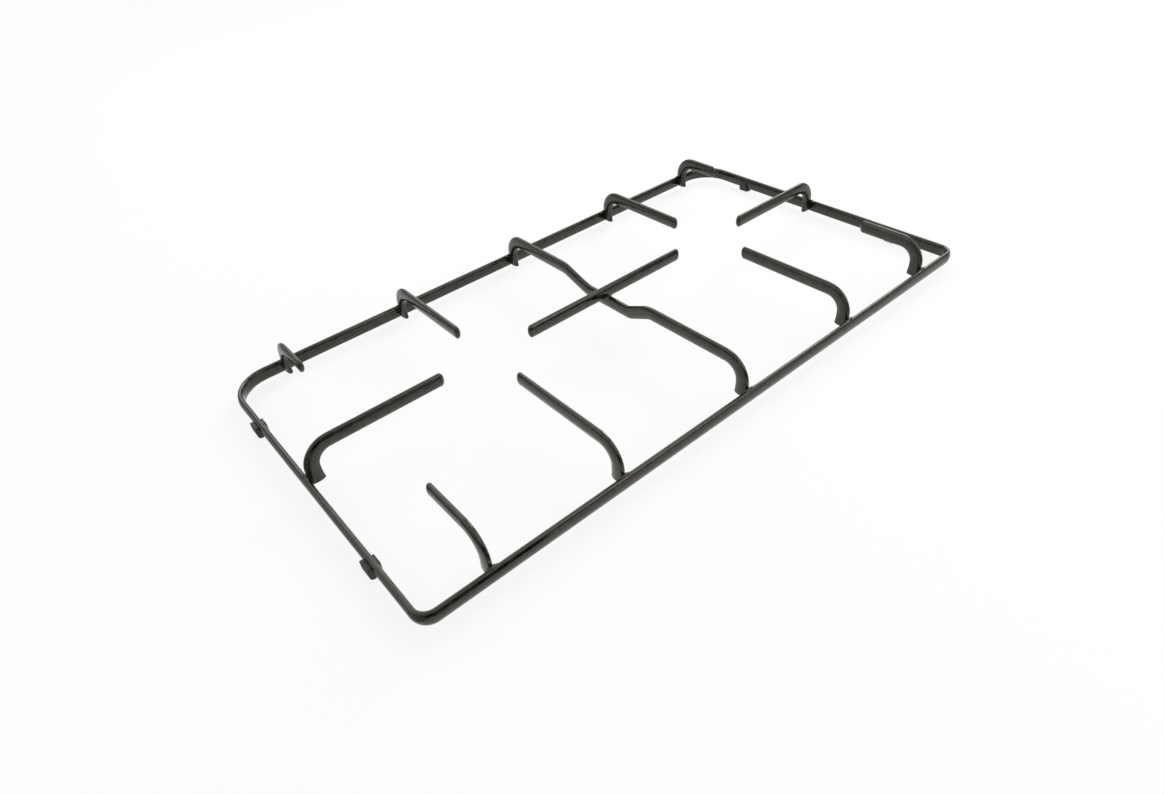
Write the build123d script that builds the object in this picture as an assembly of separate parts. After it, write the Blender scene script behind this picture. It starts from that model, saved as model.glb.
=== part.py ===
"""Pan support for one half of a gas hob: a welded, enamelled grid of oval steel rod on rubber feet.

Millimetres. +X runs along the long side, +Y towards the back of the hob and +Z up. The origin is on the
hob, under the middle of the rim.
"""

import os

from build123d import *

# The rod that every bar is bent from: a round rod rolled to an oval, with bulged sides and round edges.
ROD_WIDTH = 4.5
ROD_DEPTH = 9.6
ROD_EDGE_RADIUS = 1.5

# The rim, over its outer faces. The front corners are bent tighter than the back ones.
RIM_LENGTH = 480.0
RIM_WIDTH = 258.5
FRONT_CORNER_RADIUS = 11.0
BACK_CORNER_RADIUS = 27.0

# Heights: the feet lift the rim off the hob, and the fingers carry the pan above the rim.
FOOT_DROP = 2.85
FINGER_RISE = 21.6

# The bend from a finger down to its leg, and the leg's lower end, splayed where it was pressed on.
BEND_INNER_RADIUS = 9.5
LEG_LIFT = 2.2
LEG_SET = 0.9
SPLAY = 0.6
SPLAY_HEIGHT = 6.0

# The burners: the distance between them, how far their line lies behind the rim's middle, and the
# circle round each one that the fingers stop at.
BURNER_PITCH = 210.0
BURNER_LINE = 3.0
TIP_CIRCLE = 70.0

# The corner fingers: from the end of the corner's bend, and their reach in from the rim's outer face.
FRONT_CORNER_STEP = 33.6
FRONT_CORNER_REACH = 56.0
BACK_CORNER_STEP = 14.1
BACK_CORNER_REACH = 47.0

# The dip in the bridge that the cross bar lies in. Its front ramp is short, with a tight bend at its foot.
DIP_RUN = 44.0
DIP_FRONT_RAMP = 19.5
DIP_FRONT_TOP_RADIUS = 13.0
DIP_FRONT_FOOT_RADIUS = 2.4
DIP_BACK_RAMP = 26.0
DIP_BACK_RADIUS = 17.0
BAR_SET = 1.0

# The feet: moulded saddles pushed on to the rim from below, rounded underneath, with a long thick lip
# outside the rim and a short thin one inside it.
FOOT_SPACING = 152.0
FOOT_OUTER_LENGTH = 9.0
FOOT_OUTER_LIP = 2.25
FOOT_INNER_LENGTH = 7.0
FOOT_INNER_LIP = 1.3
FOOT_GRIP = 5.75
FOOT_ROUND = 2.4
FOOT_EDGE_RADIUS = 0.5

# The weld bead between a leg and the crest of the rim, and the nugget between bar and bridge.
WELD_RADIUS = 1.4
WELD_END_RADIUS = 0.35
WELD_REACH = 4.2
WELD_SINK = 0.55
WELD_OFFSET = 0.5
WELD_NUGGET_RADIUS = 2.6

# The cut ends: rounded at the tips, chamfered at the foot of a leg.
TIP_ROUND = 1.3
LEG_END_CHAMFER = 0.7

# Worked out from the sizes above.
rim_middle_z = FOOT_DROP + ROD_DEPTH / 2
rim_top_z = FOOT_DROP + ROD_DEPTH
finger_z = rim_middle_z + FINGER_RISE
leg_end_z = FOOT_DROP + LEG_LIFT
bend_radius = BEND_INNER_RADIUS + ROD_DEPTH / 2
dip_depth = ROD_DEPTH - BAR_SET
leg_inset = ROD_WIDTH + ROD_DEPTH / 2 - LEG_SET
half_rod = ROD_WIDTH / 2
burner_x = BURNER_PITCH / 2
tip_gap = TIP_CIRCLE / 2
front_corner_x = RIM_LENGTH / 2 - FRONT_CORNER_RADIUS - FRONT_CORNER_STEP
back_corner_x = RIM_LENGTH / 2 - BACK_CORNER_RADIUS - BACK_CORNER_STEP


def oval(depth):
    """The rod's outline, as deep as asked along X: two bulged sides that run smoothly into round edges."""
    edge_x = depth / 2 - ROD_EDGE_RADIUS
    side_radius = (half_rod**2 + edge_x**2 - ROD_EDGE_RADIUS**2) / (ROD_WIDTH - 2 * ROD_EDGE_RADIUS)
    centre_distance = side_radius - ROD_EDGE_RADIUS
    join_x = edge_x * side_radius / centre_distance
    join_y = (side_radius - half_rod) * ROD_EDGE_RADIUS / centre_distance
    outline = [
        ThreePointArc((join_x, -join_y), (depth / 2, 0), (join_x, join_y)),
        ThreePointArc((join_x, join_y), (0, half_rod), (-join_x, join_y)),
        ThreePointArc((-join_x, join_y), (-depth / 2, 0), (-join_x, -join_y)),
        ThreePointArc((-join_x, -join_y), (0, -half_rod), (join_x, -join_y)),
    ]
    return make_face(outline)


def rod_section(at, along, depth_direction):
    """The rod's outline at a point, square to the direction that the rod runs in."""
    plane = Plane(origin=at, x_dir=depth_direction, z_dir=along)
    return plane * oval(ROD_DEPTH)


def make_rim():
    """A rod on edge, bent to a closed ring."""
    outline = Rectangle(RIM_LENGTH - ROD_WIDTH, RIM_WIDTH - ROD_WIDTH)
    front = outline.vertices().group_by(Axis.Y)[0]
    outline = fillet(front, FRONT_CORNER_RADIUS - half_rod)
    back_line = outline.edges().sort_by(Axis.Y)[-1]
    outline = fillet(back_line.vertices(), BACK_CORNER_RADIUS - half_rod)
    path = Pos(0, 0, rim_middle_z) * outline.wire()
    return sweep(rod_section(path @ 0, path % 0, (0, 0, 1)), path=path)


def splayed_end(inwards):
    """The lowest stretch of a leg that stands at x = 0, spread towards the inside of the grid."""
    top = Pos(0, 0, leg_end_z + SPLAY_HEIGHT) * oval(ROD_DEPTH)
    foot = Pos(inwards * SPLAY / 2, 0, leg_end_z) * oval(ROD_DEPTH + SPLAY)
    leg_end = loft([foot, top])
    return chamfer(leg_end.faces().sort_by(Axis.Z)[0].edges(), LEG_END_CHAMFER)


def weld_bead(inwards):
    """The weld along the crest of the rim, in the groove in front of a leg that stands at x = 0."""
    taper = Cone(WELD_RADIUS, WELD_END_RADIUS, WELD_REACH, align=(Align.CENTER, Align.CENTER, Align.MIN))
    bead = Rot(90, 0, 0) * taper + Rot(-90, 0, 0) * taper
    return Pos(-inwards * (ROD_DEPTH / 2 + WELD_OFFSET), 0, rim_top_z - WELD_SINK) * bead


def make_finger(reach):
    """A finger whose leg stands at x = 0 and whose tip is at x = reach."""
    bend_start_z = leg_end_z + SPLAY_HEIGHT
    path = FilletPolyline((reach, 0, finger_z), (0, 0, finger_z), (0, 0, bend_start_z), radius=bend_radius)
    rod = sweep(rod_section(path @ 0, path % 0, (0, 0, 1)), path=path)
    rod = fillet(rod.faces().sort_by(Axis.X)[-1].edges(), TIP_ROUND)
    return rod + splayed_end(1) + weld_bead(1)


def make_bridge():
    """The rod from the back to the front of the rim, dipped under the cross bar."""
    leg_y = RIM_WIDTH / 2 - leg_inset
    low_front = BURNER_LINE - DIP_RUN / 2
    low_back = BURNER_LINE + DIP_RUN / 2
    low_z = finger_z - dip_depth
    bend_start_z = leg_end_z + SPLAY_HEIGHT
    points = [
        (-leg_y, 0, bend_start_z),
        (-leg_y, 0, finger_z),
        (low_front - DIP_FRONT_RAMP, 0, finger_z),
        (low_front, 0, low_z),
        (low_back, 0, low_z),
        (low_back + DIP_BACK_RAMP, 0, finger_z),
        (leg_y, 0, finger_z),
        (leg_y, 0, bend_start_z),
    ]
    inner_radii = [
        BEND_INNER_RADIUS,
        DIP_FRONT_TOP_RADIUS,
        DIP_FRONT_FOOT_RADIUS,
        DIP_BACK_RADIUS,
        DIP_BACK_RADIUS,
        BEND_INNER_RADIUS,
    ]
    path = FilletPolyline(*points, radius=[inner + ROD_DEPTH / 2 for inner in inner_radii])
    bridge = sweep(rod_section(path @ 0, path % 0, (1, 0, 0)), path=path)
    bridge += Pos(-leg_y, 0, 0) * (splayed_end(1) + weld_bead(1))
    bridge += Pos(leg_y, 0, 0) * (splayed_end(-1) + weld_bead(-1))
    return Rot(0, 0, 90) * bridge


def make_cross_bar():
    """The straight bar that spans the gap between the two burners' circles."""
    half = burner_x - tip_gap
    start = (-half, BURNER_LINE, finger_z)
    bar = extrude(rod_section(start, (1, 0, 0), (0, 0, 1)), 2 * half)
    ends = bar.faces().group_by(Axis.X)
    bar = fillet(ends[0].edges() + ends[-1].edges(), TIP_ROUND)
    return bar + Pos(0, BURNER_LINE, finger_z - ROD_DEPTH / 2 + BAR_SET / 2) * Sphere(WELD_NUGGET_RADIUS)


def make_foot():
    """A saddle under a rim rod that runs along Y at x = 0, with its outer lip on the side of -X."""
    height = FOOT_DROP + FOOT_GRIP
    outer = Rectangle(half_rod + FOOT_OUTER_LIP, height, align=(Align.MAX, Align.MIN))
    outer = fillet(outer.vertices().group_by(Axis.Y)[0].sort_by(Axis.X)[0], FOOT_ROUND)
    inner = Rectangle(half_rod + FOOT_INNER_LIP, height, align=(Align.MIN, Align.MIN))
    inner = fillet(inner.vertices().group_by(Axis.Y)[0].sort_by(Axis.X)[-1], FOOT_ROUND)
    foot = extrude(Plane.XZ * outer, FOOT_OUTER_LENGTH / 2, both=True)
    foot += extrude(Plane.XZ * inner, FOOT_INNER_LENGTH / 2, both=True)
    return fillet(foot.faces().group_by(Axis.Z)[-1].edges().filter_by(GeomType.LINE), FOOT_EDGE_RADIUS)


def place_finger(finger, x, y, turn):
    """A finger with its leg at x, y, turned so that it points into the grid."""
    return Pos(x, y, 0) * Rot(0, 0, turn) * finger


def make_parts():
    """Every piece in its place, by name."""
    rim = make_rim()
    bridge = make_bridge() - rim
    half_length = RIM_LENGTH / 2 - leg_inset
    half_width = RIM_WIDTH / 2 - leg_inset
    side_reach = half_length - burner_x - tip_gap
    back_reach = half_width - BURNER_LINE - tip_gap
    front_reach = half_width + BURNER_LINE - tip_gap
    parts = {"rim": rim, "centre_bridge": bridge, "cross_bar": make_cross_bar() - bridge}

    side_finger = make_finger(side_reach)
    back_finger = make_finger(back_reach)
    front_finger = make_finger(front_reach)
    back_corner_finger = make_finger(BACK_CORNER_REACH - leg_inset)
    front_corner_finger = make_finger(FRONT_CORNER_REACH - leg_inset)
    foot = make_foot()
    for side, sign in (("left", -1), ("right", 1)):
        side_turn = 0 if sign < 0 else 180
        fingers = {
            f"{side}_finger": place_finger(side_finger, sign * half_length, BURNER_LINE, side_turn),
            f"back_{side}_finger": place_finger(back_finger, sign * burner_x, half_width, -90),
            f"front_{side}_finger": place_finger(front_finger, sign * burner_x, -half_width, 90),
            f"back_{side}_corner_finger": place_finger(
                back_corner_finger, sign * back_corner_x, half_width, -90
            ),
            f"front_{side}_corner_finger": place_finger(
                front_corner_finger, sign * front_corner_x, -half_width, 90
            ),
        }
        rim_x = sign * (RIM_LENGTH - ROD_WIDTH) / 2
        feet = {
            f"back_{side}_foot": Pos(rim_x, FOOT_SPACING / 2, 0) * Rot(0, 0, side_turn) * foot,
            f"front_{side}_foot": Pos(rim_x, -FOOT_SPACING / 2, 0) * Rot(0, 0, side_turn) * foot,
        }
        for name, piece in (fingers | feet).items():
            parts[name] = piece - rim
    return parts


os.makedirs("parts", exist_ok=True)
for name, piece in make_parts().items():
    export_step(piece, f"parts/{name}.step")
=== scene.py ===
"""Looks of a hob pan support: black enamel on its welded rods, rubber feet and a pale studio."""

import math

import bpy
from bpy.props import FloatProperty, FloatVectorProperty, IntProperty, PointerProperty
from mathutils import Matrix, Vector


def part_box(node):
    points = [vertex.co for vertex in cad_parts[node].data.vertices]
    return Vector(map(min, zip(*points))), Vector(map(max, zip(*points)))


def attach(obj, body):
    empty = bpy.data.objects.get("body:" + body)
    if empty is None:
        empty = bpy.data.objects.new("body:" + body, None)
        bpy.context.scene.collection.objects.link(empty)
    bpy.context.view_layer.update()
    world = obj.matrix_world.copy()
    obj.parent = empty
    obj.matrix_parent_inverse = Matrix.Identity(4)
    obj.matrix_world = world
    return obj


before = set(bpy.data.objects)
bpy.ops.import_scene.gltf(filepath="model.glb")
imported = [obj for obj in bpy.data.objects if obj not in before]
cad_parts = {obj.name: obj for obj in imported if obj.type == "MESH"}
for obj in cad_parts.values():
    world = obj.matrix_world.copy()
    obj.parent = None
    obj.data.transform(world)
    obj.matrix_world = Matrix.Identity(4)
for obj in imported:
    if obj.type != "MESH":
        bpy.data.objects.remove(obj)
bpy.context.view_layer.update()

bl_info = {
    "name": "Hob pan support",
    "version": (1, 0, 0),
    "blender": (4, 5, 0),
    "location": "3D View > Sidebar > Pan support",
    "description": "Enamels the rods of a hob pan support, adds its welds and sets up a pale studio",
    "category": "Object",
}

FEET = sorted(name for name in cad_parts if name.endswith("_foot"))
RODS = sorted(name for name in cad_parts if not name.endswith("_foot"))
FINGERS = [name for name in RODS if name.endswith("_finger")]
RIM_LOW, RIM_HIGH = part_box("rim")
BAR_LOW, BAR_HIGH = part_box("cross_bar")

# The rod's oval section and the rounding of its cut ends, as in the solids.
ROD_WIDTH = 0.0045
ROD_DEPTH = 0.0096
ROD_EDGE = 0.0015
TIP_ROUND = 0.0013

# How far a leg is set into the rim's side, and where its axis then stands from the rim's outer face.
LEG_SET = 0.0009
LEG_INSET = ROD_WIDTH + ROD_DEPTH / 2 - LEG_SET

# The welds: where they lie on the rods, how they are drawn out and how their enamel differs.
LEG_WELD_OFFSET = 0.0005
BAR_WELD_OFFSET = 0.0014
BAR_WELD_LIFT = 0.0004
WELD_RINGS = 16
WELD_END_SHARE = 0.22
WELD_TAPER = 1.6
WELD_LUMP_SIZE = 0.0016
WELD_DULLNESS = 0.04
WELD_RIPPLE = 1.6

# The enamel over a cut end: how it starts as a skin on the rod, and how far its dome closes.
TIP_CORNERS = 40
TIP_RINGS = 9
TIP_PROUD = 0.00005
TIP_OVERLAP = 0.0012
TIP_START_SIZE = 0.96
TIP_CLOSE = math.radians(84.0)

# The enamel's pinholes: how much finer than its ripples they are, and their depth beside them.
PINHOLE_FINENESS = 1.7
PINHOLE_DEPTH = 0.6

# Sockets of a Mix node that mixes colours.
MIX_SHARE, MIX_FIRST, MIX_SECOND, MIX_RESULT = 0, 6, 7, 2

# The studio: its floor, which turns plain white further out, and the ring of flags round it, a glowing
# dark sheet that only the gloss sees and that paints the reflection of a dark room into the rods.
WHITE = (1.0, 1.0, 1.0, 1.0)
FLOOR_SIZE = 12.0
FADE_START = 0.6
FADE_END = 2.4
RING_RADIUS = 0.9
RING_CORNERS = 48
SENSOR_WIDTH = 36.0

# The cards that show only in the gloss, painted reflections: the black card and flag in front paint a
# dark room on the camera's side, and the grey cards on the floor paint a darker floor into the rods'
# reflections. Columns: name, two opposite corners and the setting for how light each is.
CARD_LIFT = 0.0004
CARDS = (
    ("front_card", (-0.75, -0.65, CARD_LIFT), (-0.150, -0.150, CARD_LIFT), "front_card_glow"),
    ("front_flag", (-0.75, -0.65, CARD_LIFT), (-0.055, -0.65, 0.16), "front_card_glow"),
    ("right_card", (-0.150, -0.65, CARD_LIFT), (0.60, -0.165, CARD_LIFT), "right_card_glow"),
    ("left_card", (-0.60, -0.150, CARD_LIFT), (-0.243, 0.40, CARD_LIFT), "left_card_glow"),
)

# The lamps, which all point at the middle of the floor: name, which is also its setting, place and size.
LAMPS = (
    ("back_light", (0.45, 1.00, 0.95), (1.6, 0.7)),
    ("front_light", (0.27, -0.62, 0.42), (0.36, 0.8)),
    ("left_light", (-0.72, 0.25, 0.32), (0.5, 0.5)),
    ("side_light", (1.40, 0.35, 0.92), (0.6, 0.9)),
)


class EnamelSettings(bpy.types.PropertyGroup):
    """The vitreous enamel on the rods."""

    deep_colour: FloatVectorProperty(
        name="Deep colour",
        description="Enamel where it lies thick",
        subtype="COLOR",
        size=4,
        default=(0.0012, 0.0011, 0.0007, 1.0),
    )
    thin_colour: FloatVectorProperty(
        name="Thin colour",
        description="Enamel where it lies thin and the ground coat shows through a little",
        subtype="COLOR",
        size=4,
        default=(0.0160, 0.0143, 0.0088, 1.0),
    )
    gloss_tint: FloatVectorProperty(
        name="Gloss tint",
        description="Colour that the enamel gives to what it mirrors",
        subtype="COLOR",
        size=4,
        default=(1.0, 0.958, 0.82, 1.0),
    )
    gloss_low: FloatProperty(
        name="Lowest roughness", description="Roughness where the enamel is as fired", default=0.11
    )
    gloss_high: FloatProperty(
        name="Highest roughness", description="Roughness where use has dulled the enamel", default=0.34
    )
    patch_scale: FloatProperty(
        name="Patch scale",
        description="How many thick and thin patches there are to a metre",
        default=210.0,
    )
    dull_scale: FloatProperty(
        name="Dull scale", description="How many dulled stretches there are to a metre", default=9.0
    )
    tip_swell: FloatProperty(
        name="Tip swell",
        description="How far the enamel bulges out past a cut end",
        default=0.0014,
        precision=5,
        subtype="DISTANCE",
        unit="LENGTH",
    )
    peel_scale: FloatProperty(
        name="Peel scale", description="How many ripples the enamel's skin has to a metre", default=380.0
    )
    peel_depth: FloatProperty(
        name="Peel depth",
        description="Depth of the ripples in the enamel's skin",
        default=0.00008,
        precision=6,
        subtype="DISTANCE",
        unit="LENGTH",
    )


class WeldSettings(bpy.types.PropertyGroup):
    """The welds that hold the grid together."""

    leg_reach: FloatProperty(
        name="Reach along the rim",
        description="How far a leg's weld runs out along the rim, from the leg's axis",
        default=0.0047,
        subtype="DISTANCE",
        unit="LENGTH",
    )
    leg_bead: FloatProperty(
        name="Bead radius",
        description="Thickness of a leg's weld, from its axis to its skin",
        default=0.00155,
        precision=5,
        subtype="DISTANCE",
        unit="LENGTH",
    )
    leg_sink: FloatProperty(
        name="Bead sink",
        description="How deep the axis of a leg's weld lies under the rim's crest",
        default=0.00055,
        precision=5,
        subtype="DISTANCE",
        unit="LENGTH",
    )
    bar_reach: FloatProperty(
        name="Reach along the cross bar",
        description="How far the cross bar's weld runs out to each side of the bridge",
        default=0.0019,
        subtype="DISTANCE",
        unit="LENGTH",
    )
    bar_bead: FloatProperty(
        name="Bar bead radius",
        description="Thickness of the cross bar's weld, from its axis to its skin",
        default=0.0012,
        precision=5,
        subtype="DISTANCE",
        unit="LENGTH",
    )
    lump: FloatProperty(
        name="Lumps",
        description="How far a weld's surface wanders in and out",
        default=0.00013,
        precision=5,
        subtype="DISTANCE",
        unit="LENGTH",
    )
    ring_corners: IntProperty(
        name="Ring corners", description="Corners of the rings that a weld is drawn out of", default=28
    )


class FootSettings(bpy.types.PropertyGroup):
    """The rubber of the feet."""

    colour: FloatVectorProperty(
        name="Rubber colour",
        description="Colour of the moulded rubber",
        subtype="COLOR",
        size=4,
        default=(0.0125, 0.0122, 0.0112, 1.0),
    )
    bloom_colour: FloatVectorProperty(
        name="Bloom colour",
        description="Colour of the rubber where it has gone a little grey",
        subtype="COLOR",
        size=4,
        default=(0.022, 0.0215, 0.0198, 1.0),
    )
    grain_scale: FloatProperty(
        name="Grain scale",
        description="How many grains the mould's surface has to a metre",
        default=1900.0,
    )


class StageSettings(bpy.types.PropertyGroup):
    """The studio that the pan support stands in."""

    camera_place: FloatVectorProperty(
        name="Camera place",
        description="Where the camera stands",
        subtype="TRANSLATION",
        unit="LENGTH",
        size=3,
        default=(-0.29367, -0.34586, 0.31054),
    )
    camera_turn: FloatVectorProperty(
        name="Camera turn",
        description="How the camera is turned",
        subtype="EULER",
        unit="ROTATION",
        size=3,
        default=(0.877017, 0.076504, -0.706594),
    )
    camera_lens: FloatProperty(
        name="Lens",
        description="Focal length of the lens, in millimetres on a 36 mm sensor",
        default=23.034,
    )
    floor_colour: FloatVectorProperty(
        name="Floor colour",
        description="Colour of the paper that the floor is covered with",
        subtype="COLOR",
        size=4,
        default=(0.93, 0.93, 0.925, 1.0),
    )
    paper_glow: FloatProperty(
        name="Paper glow",
        description="Share of plain white in the floor as the camera and the gloss see it",
        subtype="FACTOR",
        default=0.84,
    )
    # The flags and cards below are painted reflections: glowing sheets that only the gloss sees, and
    # these settings give how light they show in it.
    flag_glow: FloatProperty(
        name="Flag glow", description="How light the dark flags round the table are", default=0.52
    )
    flag_height: FloatProperty(
        name="Flag height",
        description="Height of the dark flags round the table",
        default=0.38,
        subtype="DISTANCE",
        unit="LENGTH",
    )
    front_card_glow: FloatProperty(
        name="Front card glow",
        description="How light the black card and flag in front are",
        default=0.02,
    )
    right_card_glow: FloatProperty(
        name="Right card glow",
        description="How light the grey card on the floor to the right is",
        default=0.38,
    )
    left_card_glow: FloatProperty(
        name="Left card glow",
        description="How light the grey card on the floor to the left is",
        default=0.42,
    )
    fill_light: FloatProperty(
        name="Fill light", description="Strength of the light from all round", default=0.50
    )
    back_light: FloatProperty(
        name="Back light",
        description="Power of the wide soft lamp high up behind the table",
        default=7.0,
        unit="POWER",
    )
    front_light: FloatProperty(
        name="Front light",
        description="Power of the tall soft lamp in front",
        default=1.5,
        unit="POWER",
    )
    left_light: FloatProperty(
        name="Left light",
        description="Power of the soft lamp on the left",
        default=0.7,
        unit="POWER",
    )
    side_light: FloatProperty(
        name="Side light",
        description="Power of the soft lamp up on the right",
        default=14.0,
        unit="POWER",
    )


def add_node(tree, kind, values=None, **settings):
    """A node of a tree with its settings and input values set."""
    node = tree.nodes.new(kind)
    for key, value in settings.items():
        setattr(node, key, value)
    for key, value in (values or {}).items():
        node.inputs[key].default_value = value
    return node


def new_group(name, inputs, outputs):
    """An empty shader node group with its sockets, its input node and its output node."""
    group = bpy.data.node_groups.new(name, "ShaderNodeTree")
    for socket, kind in inputs:
        group.interface.new_socket(name=socket, in_out="INPUT", socket_type=kind)
    for socket, kind in outputs:
        group.interface.new_socket(name=socket, in_out="OUTPUT", socket_type=kind)
    return group, add_node(group, "NodeGroupInput"), add_node(group, "NodeGroupOutput")


def enamel_skin_group():
    """Patches, fine ripples and pinholes of a fired enamel coat."""
    known = bpy.data.node_groups.get("Enamel skin")
    if known:
        return known
    group, given, result = new_group(
        "Enamel skin",
        [
            ("Vector", "NodeSocketVector"),
            ("Patch Scale", "NodeSocketFloat"),
            ("Dull Scale", "NodeSocketFloat"),
            ("Peel Scale", "NodeSocketFloat"),
        ],
        [
            ("Patches", "NodeSocketFloat"),
            ("Dulling", "NodeSocketFloat"),
            ("Peel", "NodeSocketFloat"),
            ("Pinholes", "NodeSocketFloat"),
        ],
    )
    link = group.links.new
    patch = add_node(group, "ShaderNodeTexNoise", {"Detail": 4.0, "Roughness": 0.6})
    link(given.outputs["Vector"], patch.inputs["Vector"])
    link(given.outputs["Patch Scale"], patch.inputs["Scale"])
    spread = add_node(group, "ShaderNodeMapRange", {"From Min": 0.41, "From Max": 0.59})
    link(patch.outputs["Fac"], spread.inputs["Value"])
    link(spread.outputs["Result"], result.inputs["Patches"])

    stretch = add_node(group, "ShaderNodeTexNoise", {"Detail": 3.0, "Roughness": 0.55})
    link(given.outputs["Vector"], stretch.inputs["Vector"])
    link(given.outputs["Dull Scale"], stretch.inputs["Scale"])
    dulled = add_node(group, "ShaderNodeMapRange", {"From Min": 0.42, "From Max": 0.68})
    link(stretch.outputs["Fac"], dulled.inputs["Value"])
    link(dulled.outputs["Result"], result.inputs["Dulling"])

    peel = add_node(group, "ShaderNodeTexNoise", {"Detail": 2.0, "Roughness": 0.45})
    link(given.outputs["Vector"], peel.inputs["Vector"])
    link(given.outputs["Peel Scale"], peel.inputs["Scale"])
    link(peel.outputs["Fac"], result.inputs["Peel"])

    finer = add_node(group, "ShaderNodeMath", {1: PINHOLE_FINENESS}, operation="MULTIPLY")
    link(given.outputs["Peel Scale"], finer.inputs[0])
    cells = add_node(group, "ShaderNodeTexVoronoi", feature="F1")
    link(given.outputs["Vector"], cells.inputs["Vector"])
    link(finer.outputs["Value"], cells.inputs["Scale"])
    hole = add_node(
        group,
        "ShaderNodeMapRange",
        {"From Min": 0.05, "From Max": 0.12, "To Min": 1.0, "To Max": 0.0},
    )
    link(cells.outputs["Distance"], hole.inputs["Value"])
    link(hole.outputs["Result"], result.inputs["Pinholes"])
    return group


def enamel_material(name, settings, dullness, ripple):
    """Black enamel, duller by dullness and more rippled by ripple than on a smooth rod."""
    material = bpy.data.materials.new(name)
    material.use_nodes = True
    tree = material.node_tree
    tree.nodes.clear()
    link = tree.links.new
    place = add_node(tree, "ShaderNodeTexCoord")
    skin = add_node(tree, "ShaderNodeGroup", node_tree=enamel_skin_group())
    skin.inputs["Patch Scale"].default_value = settings.patch_scale
    skin.inputs["Dull Scale"].default_value = settings.dull_scale
    skin.inputs["Peel Scale"].default_value = settings.peel_scale
    link(place.outputs["Object"], skin.inputs["Vector"])

    colour = add_node(
        tree,
        "ShaderNodeMix",
        {MIX_FIRST: settings.deep_colour, MIX_SECOND: settings.thin_colour},
        data_type="RGBA",
    )
    link(skin.outputs["Patches"], colour.inputs[MIX_SHARE])

    gloss = add_node(
        tree,
        "ShaderNodeMapRange",
        {"To Min": settings.gloss_low + dullness, "To Max": settings.gloss_high + dullness},
    )
    link(skin.outputs["Dulling"], gloss.inputs["Value"])

    sunk = add_node(tree, "ShaderNodeMath", {1: -PINHOLE_DEPTH}, operation="MULTIPLY_ADD")
    link(skin.outputs["Pinholes"], sunk.inputs[0])
    link(skin.outputs["Peel"], sunk.inputs[2])
    depth = settings.peel_depth * ripple
    ripples = add_node(tree, "ShaderNodeBump", {"Strength": 0.5, "Distance": depth})
    link(sunk.outputs["Value"], ripples.inputs["Height"])

    surface = add_node(
        tree,
        "ShaderNodeBsdfPrincipled",
        {"IOR": 1.56, "Specular IOR Level": 0.5, "Specular Tint": settings.gloss_tint},
    )
    link(colour.outputs[MIX_RESULT], surface.inputs["Base Color"])
    link(gloss.outputs["Result"], surface.inputs["Roughness"])
    link(ripples.outputs["Normal"], surface.inputs["Normal"])
    out = add_node(tree, "ShaderNodeOutputMaterial")
    link(surface.outputs["BSDF"], out.inputs["Surface"])
    return material


def rubber_material(name, settings):
    """Moulded black rubber with a fine grain and a slight bloom."""
    material = bpy.data.materials.new(name)
    material.use_nodes = True
    tree = material.node_tree
    tree.nodes.clear()
    link = tree.links.new
    place = add_node(tree, "ShaderNodeTexCoord")
    bloom = add_node(tree, "ShaderNodeTexNoise", {"Scale": 210.0, "Detail": 5.0, "Roughness": 0.65})
    link(place.outputs["Object"], bloom.inputs["Vector"])
    greyed = add_node(tree, "ShaderNodeMapRange", {"From Min": 0.42, "From Max": 0.72})
    link(bloom.outputs["Fac"], greyed.inputs["Value"])
    colour = add_node(
        tree,
        "ShaderNodeMix",
        {MIX_FIRST: settings.colour, MIX_SECOND: settings.bloom_colour},
        data_type="RGBA",
    )
    link(greyed.outputs["Result"], colour.inputs[MIX_SHARE])
    gloss = add_node(tree, "ShaderNodeMapRange", {"To Min": 0.42, "To Max": 0.60})
    link(greyed.outputs["Result"], gloss.inputs["Value"])
    grain = add_node(tree, "ShaderNodeTexNoise", {"Scale": settings.grain_scale, "Detail": 2.0})
    link(place.outputs["Object"], grain.inputs["Vector"])
    grained = add_node(tree, "ShaderNodeBump", {"Strength": 0.35, "Distance": 0.00004})
    link(grain.outputs["Fac"], grained.inputs["Height"])
    surface = add_node(tree, "ShaderNodeBsdfPrincipled", {"IOR": 1.5})
    link(colour.outputs[MIX_RESULT], surface.inputs["Base Color"])
    link(gloss.outputs["Result"], surface.inputs["Roughness"])
    link(grained.outputs["Normal"], surface.inputs["Normal"])
    out = add_node(tree, "ShaderNodeOutputMaterial")
    link(surface.outputs["BSDF"], out.inputs["Surface"])
    return material


def seen_rays(tree):
    """A socket that is 1 for what the camera, the gloss and clear parts see, and 0 for plain light."""
    rays = add_node(tree, "ShaderNodeLightPath")
    shiny = add_node(tree, "ShaderNodeMath", operation="MAXIMUM")
    tree.links.new(rays.outputs["Is Glossy Ray"], shiny.inputs[0])
    tree.links.new(rays.outputs["Is Transmission Ray"], shiny.inputs[1])
    seen = add_node(tree, "ShaderNodeMath", operation="MAXIMUM")
    tree.links.new(rays.outputs["Is Camera Ray"], seen.inputs[0])
    tree.links.new(shiny.outputs["Value"], seen.inputs[1])
    return seen.outputs["Value"]


def cover(names, material):
    """Puts a material on carried-over solids."""
    for name in names:
        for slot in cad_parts[name].material_slots:
            slot.material = material


def apply_modifiers(piece):
    """Applies every modifier of a piece, in order."""
    bpy.ops.object.select_all(action="DESELECT")
    bpy.context.view_layer.objects.active = piece
    piece.select_set(True)
    for modifier in list(piece.modifiers):
        bpy.ops.object.modifier_apply(modifier=modifier.name)


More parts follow.
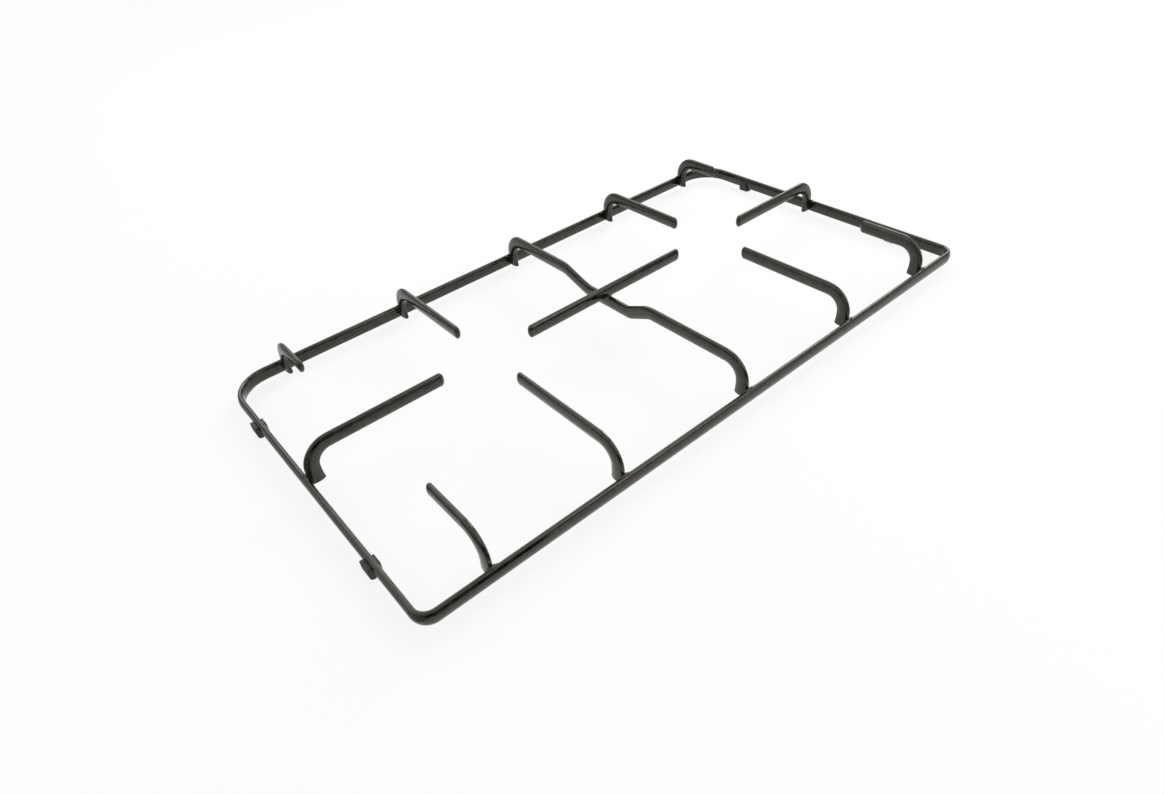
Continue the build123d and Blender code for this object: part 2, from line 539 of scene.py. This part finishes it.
def finish_weld(piece, settings, material):
    """Gives a weld in place its lumps, its smooth shading and its enamel."""
    lumps = bpy.data.textures.get("Weld lumps")
    if lumps is None:
        lumps = bpy.data.textures.new("Weld lumps", "CLOUDS")
        lumps.noise_scale = WELD_LUMP_SIZE
        lumps.noise_depth = 1
    wander = piece.modifiers.new("Lumps", "DISPLACE")
    wander.texture = lumps
    wander.texture_coords = "GLOBAL"
    wander.strength = settings.lump
    apply_modifiers(piece)
    bpy.ops.object.shade_smooth()
    piece.data.materials.append(material)
    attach(piece, "root")


def leg_places():
    """Name, place of the leg's axis and turn about it for every leg, from the front of the rim round."""
    side_x = RIM_HIGH.x - LEG_INSET
    end_y = RIM_HIGH.y - LEG_INSET
    places = [("bridge_front", 0.0, -end_y, 0.0), ("bridge_back", 0.0, end_y, 180.0)]
    for name in FINGERS:
        low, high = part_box(name)
        middle = (low + high) / 2
        if name == "left_finger":
            places.append((name, -side_x, middle.y, -90.0))
        elif name == "right_finger":
            places.append((name, side_x, middle.y, 90.0))
        elif name.startswith("front_"):
            places.append((name, middle.x, -end_y, 0.0))
        else:
            places.append((name, middle.x, end_y, 180.0))
    return places


def draw_out(rings, y, z):
    """Draws the active outline out along X, from ring to ring, each given by its place and its size."""
    bpy.ops.object.mode_set(mode="EDIT")
    bpy.ops.mesh.select_all(action="SELECT")
    for (x, size), (next_x, next_size) in zip(rings, rings[1:]):
        bpy.ops.mesh.extrude_region_move(TRANSFORM_OT_translate={"value": (next_x - x, 0.0, 0.0)})
        grow = next_size / size
        bpy.ops.transform.resize(value=(1.0, grow, grow), center_override=(next_x, y, z))
    bpy.ops.mesh.select_all(action="SELECT")
    bpy.ops.mesh.normals_make_consistent(inside=False)
    bpy.ops.object.mode_set(mode="OBJECT")
    bpy.ops.object.transform_apply(location=True, rotation=True, scale=True)


def draw_bead(settings, reach, bead_radius, y, z):
    """A weld bead along X through x = 0, drawn out ring by ring, that thins out to both ends."""
    steps = [-1.0 + 2.0 * step / WELD_RINGS for step in range(WELD_RINGS + 1)]
    swells = [math.cos(step * math.pi / 2) ** WELD_TAPER for step in steps]
    shares = [WELD_END_SHARE + (1.0 - WELD_END_SHARE) * swell for swell in swells]
    rings = [(reach * step, bead_radius * share) for step, share in zip(steps, shares)]
    bpy.ops.object.select_all(action="DESELECT")
    bpy.ops.mesh.primitive_circle_add(
        vertices=settings.ring_corners,
        radius=rings[0][1],
        fill_type="NGON",
        location=(rings[0][0], y, z),
        rotation=(0.0, math.pi / 2, 0.0),
    )
    bead = bpy.context.object
    draw_out(rings, y, z)
    round_off = bead.modifiers.new("Round off", "SUBSURF")
    round_off.levels = 1
    round_off.render_levels = 1
    apply_modifiers(bead)
    return bead


def oval_corner(turn, proud):
    """The point of the rod's outline whose normal is at a turn from its deep axis, set out by proud."""
    edge = ROD_DEPTH / 2 - ROD_EDGE
    side_radius = ((ROD_WIDTH / 2) ** 2 + edge**2 - ROD_EDGE**2) / (ROD_WIDTH - 2 * ROD_EDGE)
    side_centre = side_radius - ROD_WIDTH / 2
    along, across = math.cos(turn), math.sin(turn)
    if abs(across) * edge > abs(along) * side_centre:
        radius, depth, width = side_radius, 0.0, -math.copysign(side_centre, across)
    else:
        radius, depth, width = ROD_EDGE, math.copysign(edge, along), 0.0
    return Vector((0.0, width + (radius + proud) * across, depth + (radius + proud) * along))


def draw_tip(settings):
    """The enamel over a cut end at x = 0 that faces +X: a skin on the rod that closes in a dome."""
    dome = TIP_ROUND + settings.tip_swell
    turns = [TIP_CLOSE * step / TIP_RINGS for step in range(TIP_RINGS + 1)]
    rings = [(-TIP_ROUND - TIP_OVERLAP, TIP_START_SIZE), (-TIP_ROUND - TIP_OVERLAP / 3, 1.0)]
    rings += [(dome * math.sin(turn) - TIP_ROUND, math.cos(turn)) for turn in turns]
    start_x, start_size = rings[0]
    bpy.ops.object.select_all(action="DESELECT")
    bpy.ops.mesh.primitive_circle_add(vertices=TIP_CORNERS, radius=ROD_DEPTH / 2, fill_type="NGON")
    tip = bpy.context.object
    for index, corner in enumerate(tip.data.vertices):
        point = oval_corner(2 * math.pi * index / TIP_CORNERS, TIP_PROUD)
        corner.co = point * start_size + Vector((start_x, 0.0, 0.0))
    draw_out(rings, 0.0, 0.0)
    return tip


def tip_places():
    """Name, place and turn about Z of every cut end of the fingers and the cross bar."""
    axis_z = BAR_HIGH.z - ROD_DEPTH / 2 - TIP_PROUD
    middle_y = (BAR_LOW.y + BAR_HIGH.y) / 2
    places = [
        ("bar_left", (BAR_LOW.x, middle_y, axis_z), 180.0),
        ("bar_right", (BAR_HIGH.x, middle_y, axis_z), 0.0),
    ]
    for name in FINGERS:
        low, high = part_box(name)
        middle = (low + high) / 2
        if name == "left_finger":
            places.append((name, (high.x, middle.y, axis_z), 0.0))
        elif name == "right_finger":
            places.append((name, (low.x, middle.y, axis_z), 180.0))
        elif name.startswith("front_"):
            places.append((name, (middle.x, high.y, axis_z), 90.0))
        else:
            places.append((name, (middle.x, low.y, axis_z), -90.0))
    return places


def lay_bead(context, pattern, name, place, material):
    """A copy of a bead, moved and turned to its place, with its own lumps."""
    weld = pattern.copy()
    weld.data = pattern.data.copy()
    weld.name = name
    context.scene.collection.objects.link(weld)
    weld.data.transform(place)
    finish_weld(weld, context.scene.pan_weld, material)


class PANSUPPORT_OT_enamel_rods(bpy.types.Operator):
    """Enamels the rim, the bridge, the cross bar and the fingers"""

    bl_idname = "pan_support.enamel_rods"
    bl_label = "Enamel the rods"

    def execute(self, context):
        cover(RODS, enamel_material("Black enamel", context.scene.pan_enamel, 0.0, 1.0))
        return {"FINISHED"}


class PANSUPPORT_OT_tips(bpy.types.Operator):
    """Draws the enamel round over the cut ends of the fingers and the cross bar"""

    bl_idname = "pan_support.tips"
    bl_label = "Round the tips"

    def execute(self, context):
        material = bpy.data.materials["Black enamel"]
        pattern = draw_tip(context.scene.pan_enamel)
        for name, place, turn in tip_places():
            tip = pattern.copy()
            tip.data = pattern.data.copy()
            tip.name = "tip_" + name
            context.scene.collection.objects.link(tip)
            tip.data.transform(Matrix.Translation(place) @ Matrix.Rotation(math.radians(turn), 4, "Z"))
            tip.data.shade_smooth()
            tip.data.materials.append(material)
            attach(tip, "root")
        bpy.data.objects.remove(pattern)
        return {"FINISHED"}


class PANSUPPORT_OT_leg_welds(bpy.types.Operator):
    """Welds every leg to the rim"""

    bl_idname = "pan_support.leg_welds"
    bl_label = "Weld the legs"

    def execute(self, context):
        settings = context.scene.pan_weld
        material = enamel_material("Weld enamel", context.scene.pan_enamel, WELD_DULLNESS, WELD_RIPPLE)
        home = Vector((0.0, RIM_LOW.y + LEG_INSET, 0.0))
        groove_y = home.y - ROD_DEPTH / 2 - LEG_WELD_OFFSET
        groove_z = RIM_HIGH.z - settings.leg_sink
        pattern = draw_bead(settings, settings.leg_reach, settings.leg_bead, groove_y, groove_z)
        for name, x, y, turn in leg_places():
            place = Matrix.Translation((x, y, 0.0)) @ Matrix.Rotation(math.radians(turn), 4, "Z")
            lay_bead(context, pattern, "weld_" + name, place @ Matrix.Translation(-home), material)
        bpy.data.objects.remove(pattern)
        return {"FINISHED"}


class PANSUPPORT_OT_bar_welds(bpy.types.Operator):
    """Welds the cross bar to the bridge on both its sides"""

    bl_idname = "pan_support.bar_welds"
    bl_label = "Weld the cross bar"

    def execute(self, context):
        settings = context.scene.pan_weld
        material = bpy.data.materials["Weld enamel"]
        middle = (BAR_LOW + BAR_HIGH) / 2
        seat_z = BAR_HIGH.z - ROD_DEPTH + BAR_WELD_LIFT
        pattern = draw_bead(settings, settings.bar_reach, settings.bar_bead, 0.0, seat_z)
        for name, side in (("front", -1), ("back", 1)):
            place = Matrix.Translation((middle.x, middle.y + side * BAR_WELD_OFFSET, 0.0))
            lay_bead(context, pattern, "weld_cross_bar_" + name, place, material)
        bpy.data.objects.remove(pattern)
        return {"FINISHED"}


class PANSUPPORT_OT_rubber_feet(bpy.types.Operator):
    """Gives the feet their rubber"""

    bl_idname = "pan_support.rubber_feet"
    bl_label = "Colour the feet"

    def execute(self, context):
        cover(FEET, rubber_material("Foot rubber", context.scene.pan_foot))
        return {"FINISHED"}


class PANSUPPORT_OT_stage(bpy.types.Operator):
    """Lays the floor, sets the light and places the camera"""

    bl_idname = "pan_support.stage"
    bl_label = "Set the stage"

    def execute(self, context):
        settings = context.scene.pan_stage
        self.lay_floor(settings)
        self.hang_reflection_sheets(settings)
        self.set_light(context, settings)
        self.place_camera(context, settings)
        context.scene.view_settings.view_transform = "Standard"
        return {"FINISHED"}

    def lay_floor(self, settings):
        """A floor of pale paper that keeps the shadows near the grid and is plain white further out."""
        bpy.ops.object.select_all(action="DESELECT")
        bpy.ops.mesh.primitive_plane_add(size=FLOOR_SIZE, location=(0.0, 0.0, 0.0))
        floor = bpy.context.object
        floor.name = "floor"
        material = bpy.data.materials.new("Floor paper")
        material.use_nodes = True
        tree = material.node_tree
        tree.nodes.clear()
        link = tree.links.new
        paper = add_node(
            tree,
            "ShaderNodeBsdfPrincipled",
            {"Base Color": settings.floor_colour, "Roughness": 0.85, "Specular IOR Level": 0.1},
        )
        glow = add_node(tree, "ShaderNodeEmission", {"Color": WHITE, "Strength": 1.0})
        place = add_node(tree, "ShaderNodeTexCoord")
        distance = add_node(tree, "ShaderNodeVectorMath", operation="LENGTH")
        link(place.outputs["Object"], distance.inputs[0])
        fade = add_node(
            tree,
            "ShaderNodeMapRange",
            {"From Min": FADE_START, "From Max": FADE_END, "To Min": settings.paper_glow},
        )
        link(distance.outputs["Value"], fade.inputs["Value"])
        share = add_node(tree, "ShaderNodeMath", operation="MULTIPLY")
        link(seen_rays(tree), share.inputs[0])
        link(fade.outputs["Result"], share.inputs[1])
        choice = add_node(tree, "ShaderNodeMixShader")
        link(share.outputs["Value"], choice.inputs[0])
        link(paper.outputs["BSDF"], choice.inputs[1])
        link(glow.outputs["Emission"], choice.inputs[2])
        out = add_node(tree, "ShaderNodeOutputMaterial")
        link(choice.outputs["Shader"], out.inputs["Surface"])
        floor.data.materials.append(material)

    def hang_reflection_sheets(self, settings):
        """The ring of flags and the cards that give the rods something to mirror: painted reflections,
        glowing sheets that only the gloss sees.
        """
        bpy.ops.object.select_all(action="DESELECT")
        bpy.ops.mesh.primitive_cylinder_add(
            vertices=RING_CORNERS,
            radius=RING_RADIUS,
            depth=settings.flag_height,
            end_fill_type="NOTHING",
            location=(0.0, 0.0, settings.flag_height / 2),
        )
        self.paint_reflection_sheet("flags", settings.flag_glow)
        for name, low, high, glow in CARDS:
            self.set_card(name, Vector(low), Vector(high), getattr(settings, glow))

    def set_card(self, name, low, high, glow):
        """A card between two corners, flat on the floor or upright across Y."""
        middle = (low + high) / 2
        across = high - low
        upright = across.z > 0.0
        tilt = math.pi / 2 if upright else 0.0
        spread = (across.x, 1.0, across.z) if upright else (across.x, across.y, 1.0)
        bpy.ops.object.select_all(action="DESELECT")
        bpy.ops.mesh.primitive_plane_add(size=1.0, location=middle, rotation=(tilt, 0.0, 0.0))
        bpy.ops.transform.resize(value=spread, center_override=middle)
        self.paint_reflection_sheet(name, glow)

    def paint_reflection_sheet(self, name, glow):
        """Makes the active object an evenly grey glowing card that shows only in the gloss: a painted
        reflection, which neither lights nor shades anything.
        """
        flag = bpy.context.object
        flag.name = name
        material = bpy.data.materials.new("Cloth of " + name)
        material.use_nodes = True
        tree = material.node_tree
        tree.nodes.clear()
        reflection_glow = add_node(tree, "ShaderNodeEmission", {"Color": WHITE, "Strength": glow})
        out = add_node(tree, "ShaderNodeOutputMaterial")
        tree.links.new(reflection_glow.outputs["Emission"], out.inputs["Surface"])
        flag.data.materials.append(material)
        flag.visible_camera = False
        flag.visible_diffuse = False
        flag.visible_shadow = False

    def set_light(self, context, settings):
        """A soft light from all round, seen as plain white, and the lamps."""
        world = bpy.data.worlds.new("Studio")
        world.use_nodes = True
        tree = world.node_tree
        tree.nodes.clear()
        link = tree.links.new
        strength = settings.fill_light
        fill = add_node(tree, "ShaderNodeBackground", {"Color": WHITE, "Strength": strength})
        white = add_node(tree, "ShaderNodeBackground", {"Color": WHITE, "Strength": 1.0})
        choice = add_node(tree, "ShaderNodeMixShader")
        link(seen_rays(tree), choice.inputs[0])
        link(fill.outputs["Background"], choice.inputs[1])
        link(white.outputs["Background"], choice.inputs[2])
        out = add_node(tree, "ShaderNodeOutputWorld")
        link(choice.outputs["Shader"], out.inputs["Surface"])
        context.scene.world = world

        for name, place, size in LAMPS:
            self.hang_lamp(context, name, place, size, getattr(settings, name))

    def hang_lamp(self, context, name, place, size, power):
        """A rectangular lamp that points at the middle of the floor."""
        lamp = bpy.data.lights.new(name, "AREA")
        lamp.shape = "RECTANGLE"
        lamp.size, lamp.size_y = size
        lamp.energy = power
        holder = bpy.data.objects.new(name, lamp)
        holder.location = place
        holder.rotation_euler = (-Vector(place)).to_track_quat("-Z", "Y").to_euler()
        context.scene.collection.objects.link(holder)

    def place_camera(self, context, settings):
        """The camera at the photograph's viewing angle."""
        camera = bpy.data.cameras.new("Camera")
        camera.sensor_fit = "HORIZONTAL"
        camera.sensor_width = SENSOR_WIDTH
        camera.lens = settings.camera_lens
        camera.clip_start = 0.01
        camera.clip_end = 50.0
        holder = bpy.data.objects.new("camera", camera)
        holder.location = settings.camera_place
        holder.rotation_euler = settings.camera_turn
        context.scene.collection.objects.link(holder)
        context.scene.camera = holder


class PANSUPPORT_PT_panel(bpy.types.Panel):
    """Sizes, colours and steps of the pan support"""

    bl_idname = "PANSUPPORT_PT_panel"
    bl_label = "Pan support"
    bl_space_type = "VIEW_3D"
    bl_region_type = "UI"
    bl_category = "Pan support"

    def draw(self, context):
        steps = (
            (PANSUPPORT_OT_enamel_rods, "pan_enamel"),
            (PANSUPPORT_OT_tips, None),
            (PANSUPPORT_OT_leg_welds, "pan_weld"),
            (PANSUPPORT_OT_bar_welds, None),
            (PANSUPPORT_OT_rubber_feet, "pan_foot"),
            (PANSUPPORT_OT_stage, "pan_stage"),
        )
        for step, group in steps:
            box = self.layout.box()
            box.operator(step.bl_idname)
            settings = getattr(context.scene, group) if group else None
            for key in type(settings).__annotations__ if settings else ():
                box.prop(settings, key)


CLASSES = (
    EnamelSettings,
    WeldSettings,
    FootSettings,
    StageSettings,
    PANSUPPORT_OT_enamel_rods,
    PANSUPPORT_OT_tips,
    PANSUPPORT_OT_leg_welds,
    PANSUPPORT_OT_bar_welds,
    PANSUPPORT_OT_rubber_feet,
    PANSUPPORT_OT_stage,
    PANSUPPORT_PT_panel,
)


def register():
    for item in CLASSES:
        bpy.utils.register_class(item)
    bpy.types.Scene.pan_enamel = PointerProperty(type=EnamelSettings)
    bpy.types.Scene.pan_weld = PointerProperty(type=WeldSettings)
    bpy.types.Scene.pan_foot = PointerProperty(type=FootSettings)
    bpy.types.Scene.pan_stage = PointerProperty(type=StageSettings)


def unregister():
    for key in ("pan_enamel", "pan_weld", "pan_foot", "pan_stage"):
        delattr(bpy.types.Scene, key)
    for item in reversed(CLASSES):
        bpy.utils.unregister_class(item)


def main():
    register()
    bpy.ops.pan_support.enamel_rods()
    bpy.ops.pan_support.tips()
    bpy.ops.pan_support.leg_welds()
    bpy.ops.pan_support.bar_welds()
    bpy.ops.pan_support.rubber_feet()
    bpy.ops.pan_support.stage()


if __name__ == "__main__":
    main()
